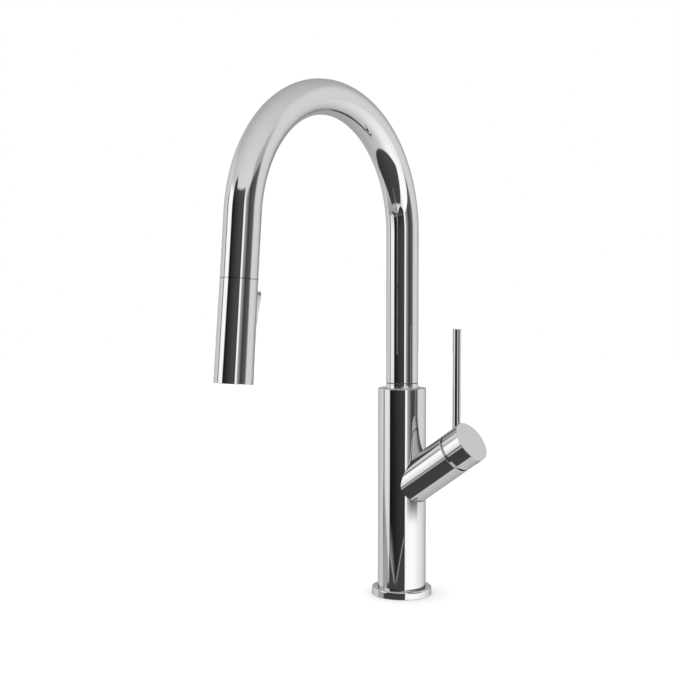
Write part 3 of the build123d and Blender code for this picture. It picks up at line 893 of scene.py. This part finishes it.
def room_light(net, way):
    """Brightness of the studio by direction: pale walls, a few panels, flags and a dark mat in front.

    Directions are in degrees: az is 0 towards the user's side and 90 towards the lever's, el is upwards."""
    part = net.add("ShaderNodeSeparateXYZ", None, {0: way})
    x, y, z = part, part.out("Y"), part.out("Z")
    az = x.math("ARCTAN2", x, 0 - y) * degrees(1)
    el = z.math("ARCSINE", z) * degrees(1)
    facing = ((az - 40.0) * radians(1)).math("COSINE", (az - 40.0) * radians(1))
    level = el.math("COSINE", el * radians(1))
    light = tone(188) + facing * level * (tone(207) - tone(180))
    left_wall = net.band(az, -122.0, -60.0, 10.0, 4.0) * net.band(el, -26.0, 30.0, 12.0, 8.0)
    light = lay(light, left_wall, net.ramp(az, -120.0, -72.0, tone(180), tone(206)))
    side = net.band(az, 116.0, 166.0, 8.0, 26.0) * net.band(el, -50.0, 40.0, 25.0, 12.0)
    light = lay(light, side, tone(208))
    soffit = net.band(az, 79.0, 114.0, 7.0, 6.0) * net.band(el, 14.0, 29.5, 3.0, 4.5)
    light = lay(light, soffit, tone(164))
    left_floor = net.band(az, -70.0, 4.0, 6.0, 5.0) * net.band(el, -23.0, -10.0, 6.0, 1.5)
    light = lay(light, left_floor, tone(155))
    table = net.band(az, 43.5, 124.0, 2.5, 42.0) * net.band(el, -56.0, -10.8, 24.0, 0.6)
    light = lay(light, table, net.ramp(az, 42.0, 60.0, tone(222), tone(251)))
    window = net.band(az, -55.5, -28.5, 3.5, 2.5) * (1 - net.step(el, 19.0, 29.0))
    window = window * net.step(el + az * 0.15, -19.0, -17.6)
    light = lay(light, window, net.ramp(el, -12.0, 6.0, tone(212), tone(250)))
    frame_bar = net.band(az, -64.6, -59.4, 1.4, 1.8) * net.band(el, -12.0, 18.0, 1.5, 3.0)
    light = lay(light, frame_bar, tone(55))
    strip = net.band(az, 48.5, 58.5, 1.5, 2.2) * net.band(el, -16.0, 17.0, 4.0, 6.0)
    light = lay(light, strip, tone(247))
    screen_top = el + (az - 85.0) * (az - 85.0) * 0.006
    screen = net.band(az, 58.6, 113.0, 2.2, 5.0) * net.band(el, -10.8, 60.0, 0.8, 1.0)
    screen = screen * (1 - net.step(screen_top, 18.5, 23.0))
    screen_tone = net.ramp(az, 59.0, 79.5, tone(166), tone(64))
    screen_tone = screen_tone + net.ramp(az, 84.0, 112.0, 0.0, tone(98) - tone(64))
    light = lay(light, screen, screen_tone)
    tall = net.band(az, -26.0, -7.0, 1.8, 1.5) * net.step(el, -10.0, -6.0)
    leaning = az + 16.0
    tall = tall * (1 - net.step(el + leaning.math("ABSOLUTE", leaning) * 0.5, 31.5, 36.0))
    from_left = az + 22.0
    low_edge = el + from_left * from_left * 0.004 + 12.1
    right_edge = az - (el + 14.0).math("MINIMUM", el + 14.0, 0.0) * 2.2
    wide = net.step(az, -27.8, -24.2) * (1 - net.step(right_edge, 47.2, 50.4))
    wide = wide * (1 - net.step(el + az * 0.06, 24.5, 27.5))
    wide = wide * net.step(low_edge, -1.9, 1.1) * net.step(el, -20.5, -19.0)
    flag = tall.math("MAXIMUM", tall, wide)
    flag_tone = net.ramp(az, -22.0, 30.0, tone(24), tone(71)) * net.ramp(el, -10.0, 5.0, 0.52, 1.0)
    light = lay(light, flag, flag_tone + net.ramp(el, 16.0, 24.0, 0.0, 0.018))
    mat_edge = el - (az - 3.0).math("ABSOLUTE", az - 3.0) * 0.055 + 14.4
    mat_side = net.band(az, -28.5, 43.5, 0.8, 1.0)
    mat_rim = mat_side * net.band(mat_edge, 0.0, 0.22, 0.05, 0.12) * net.step(el, -16.2, -15.2)
    light = lay(light, mat_rim, tone(150))
    flange_side = net.band(az, -40.5, 44.0, 1.2, 1.0) * net.band(el, -16.0, -14.05, 0.15, 0.05)
    near_mat = mat_side * (1 - net.step(mat_edge, -0.05, 0.05)) * net.step(el, -16.1, -15.9)
    light = lay(light, near_mat.math("MAXIMUM", near_mat, flange_side), tone(62))
    ahead, across = (0 - y) / (0.0001 - z), x / (0.0001 - z)
    mat = net.band(across, -1.42, 1.5, 0.1, 0.1) * net.band(ahead, 0.15, 2.15, 0.03, 0.15)
    mat = mat * (1 - net.step(el, -22.0, -19.0))
    return lay(light, mat, net.ramp(az, -60.0, 60.0, tone(55), tone(70)))


def make_world():
    world = bpy.data.worlds.new("studio_room")
    world.use_nodes = True
    net = Net(world.node_tree)
    way = net.add("ShaderNodeTexCoord", output="Generated")
    light = room_light(net, way)
    path = net.add("ShaderNodeLightPath", output="Is Camera Ray")
    soft = path.out("Is Diffuse Ray")
    again = net.step(path.out("Ray Depth"), 2.3, 2.7)
    behind = net.step(net.add("ShaderNodeSeparateXYZ", None, {0: way}).out("Y"), 0.1, 0.5)
    light = light * (1 - again * (behind * 0.5 + 0.3))
    strength = light * (1 - soft) + soft * studio().dome
    strength = strength * (1 - path) + path * 1.0
    sky = net.add("ShaderNodeBackground", None, {"Color": (1, 1, 1, 1), "Strength": strength})
    net.add("ShaderNodeOutputWorld", None, {"Surface": sky})
    bpy.context.scene.world = world


def make_floor():
    half = studio().floor_size / 2
    cells = 12
    edge = [-half + 2 * half * k / cells for k in range(cells + 1)]
    verts = [(x, y, 0) for y in edge for x in edge]
    row = cells + 1
    corners = [r * row + c for r in range(cells) for c in range(cells)]
    faces = [(k, k + 1, k + row + 1, k + row) for k in corners]
    mesh = bpy.data.meshes.new("pale_floor")
    mesh.from_pydata(verts, [], faces)

    def build(net):
        place = net.add("ShaderNodeTexCoord", output="Object")
        cloud = net.noise(place, 6.0, 3.0)
        return {"Base Color": net.mix(cloud, (0.93, 0.93, 0.93, 1), (0.95, 0.95, 0.95, 1)),
                "Roughness": net.ramp(cloud, 0.3, 0.7, 0.8, 0.9)}

    mesh.materials.append(new_finish("pale_card", {"Specular IOR Level": 0.0}, build))
    floor = bpy.data.objects.new("pale_floor", mesh)
    bpy.context.scene.collection.objects.link(floor)
    floor.visible_glossy = False


def make_softbox():
    light = bpy.data.lights.new("softbox", "AREA")
    light.shape, light.size, light.energy = "DISK", 1.6, studio().softbox_power
    box = bpy.data.objects.new("softbox", light)
    box.location = (-0.5, -0.9, 1.8)
    box.rotation_euler = (Vector(box.location)).to_track_quat("Z", "Y").to_euler()
    box.visible_glossy = False
    bpy.context.scene.collection.objects.link(box)


def make_camera():
    rig = studio()
    camera = bpy.data.cameras.new("camera")
    camera.sensor_width, camera.lens = 36.0, rig.lens
    camera.clip_start, camera.clip_end = 0.01, 50.0
    held = bpy.data.objects.new("camera", camera)
    held.location = rig.camera_place
    held.rotation_euler = (pi / 2 - rig.camera_tilt, 0, rig.camera_azimuth)
    bpy.context.scene.collection.objects.link(held)
    bpy.context.scene.camera = held


# ---- operators ----
class MakeFinishes(bpy.types.Operator):
    """Make the finishes and give the inner parts theirs"""

    bl_idname = "faucet.make_finishes"
    bl_label = "Finishes"

    def execute(self, context):
        make_finishes()
        dress_inner_parts()
        return {"FINISHED"}


class MakeColumn(bpy.types.Operator):
    """Make the base flange and the column"""

    bl_idname = "faucet.make_column"
    bl_label = "Base and column"

    def execute(self, context):
        make_flange()
        make_column()
        return {"FINISHED"}


class MakeSpout(bpy.types.Operator):
    """Make the swivelling spout and its collar"""

    bl_idname = "faucet.make_spout"
    bl_label = "Spout"

    def execute(self, context):
        make_collar()
        make_spout_tube()
        make_seam_rings()
        return {"FINISHED"}


class MakeLever(bpy.types.Operator):
    """Make the lever barrel, its ball bonnet, the cap and the rod"""

    bl_idname = "faucet.make_lever"
    bl_label = "Lever"

    def execute(self, context):
        make_barrel()
        make_bonnet()
        make_handle_cap()
        make_rod()
        return {"FINISHED"}


class MakeSprayHead(bpy.types.Operator):
    """Make the wand shell and its toggle"""

    bl_idname = "faucet.make_spray_head"
    bl_label = "Spray head"

    def execute(self, context):
        make_spray_shell()
        make_toggle()
        return {"FINISHED"}


class MakeHose(bpy.types.Operator):
    """Make the braided hose that is drawn out of the spout"""

    bl_idname = "faucet.make_hose"
    bl_label = "Hose"

    def execute(self, context):
        make_hose_lead()
        return {"FINISHED"}


class MakeStage(bpy.types.Operator):
    """Make the floor, the studio light and the camera"""

    bl_idname = "faucet.make_stage"
    bl_label = "Stage"

    def execute(self, context):
        make_floor()
        make_softbox()
        make_world()
        make_camera()
        context.scene.view_settings.view_transform = "Standard"
        return {"FINISHED"}


STEPS = (MakeFinishes, MakeColumn, MakeSpout, MakeLever, MakeSprayHead, MakeHose, MakeStage)


class FaucetPanel(bpy.types.Panel):
    """Buttons for each group of pieces, and their sizes"""

    bl_idname = "VIEW3D_PT_faucet"
    bl_label = "Pull down faucet"
    bl_space_type = "VIEW_3D"
    bl_region_type = "UI"
    bl_category = "Faucet"

    def draw(self, context):
        for step in STEPS:
            self.layout.operator(step.bl_idname)
        for group in (context.scene.faucet_sizes, context.scene.faucet_finish, context.scene.faucet_studio):
            box = self.layout.box()
            for key in group.bl_rna.properties.keys():
                if key not in ("rna_type", "name"):
                    box.prop(group, key)


GROUPS = {"faucet_sizes": FaucetSizes, "faucet_finish": FaucetFinish, "faucet_studio": StudioSettings}


def register():
    for kind in (*GROUPS.values(), *STEPS, FaucetPanel):
        bpy.utils.register_class(kind)
    for key, kind in GROUPS.items():
        setattr(bpy.types.Scene, key, bpy.props.PointerProperty(type=kind))


def unregister():
    for key in GROUPS:
        delattr(bpy.types.Scene, key)
    for kind in reversed((*GROUPS.values(), *STEPS, FaucetPanel)):
        bpy.utils.unregister_class(kind)


def main():
    register()
    bpy.ops.faucet.make_finishes()
    bpy.ops.faucet.make_column()
    bpy.ops.faucet.make_spout()
    bpy.ops.faucet.make_lever()
    bpy.ops.faucet.make_spray_head()
    bpy.ops.faucet.make_hose()
    bpy.ops.faucet.make_stage()
    bpy.context.view_layer.update()


if __name__ == "__main__":
    main()
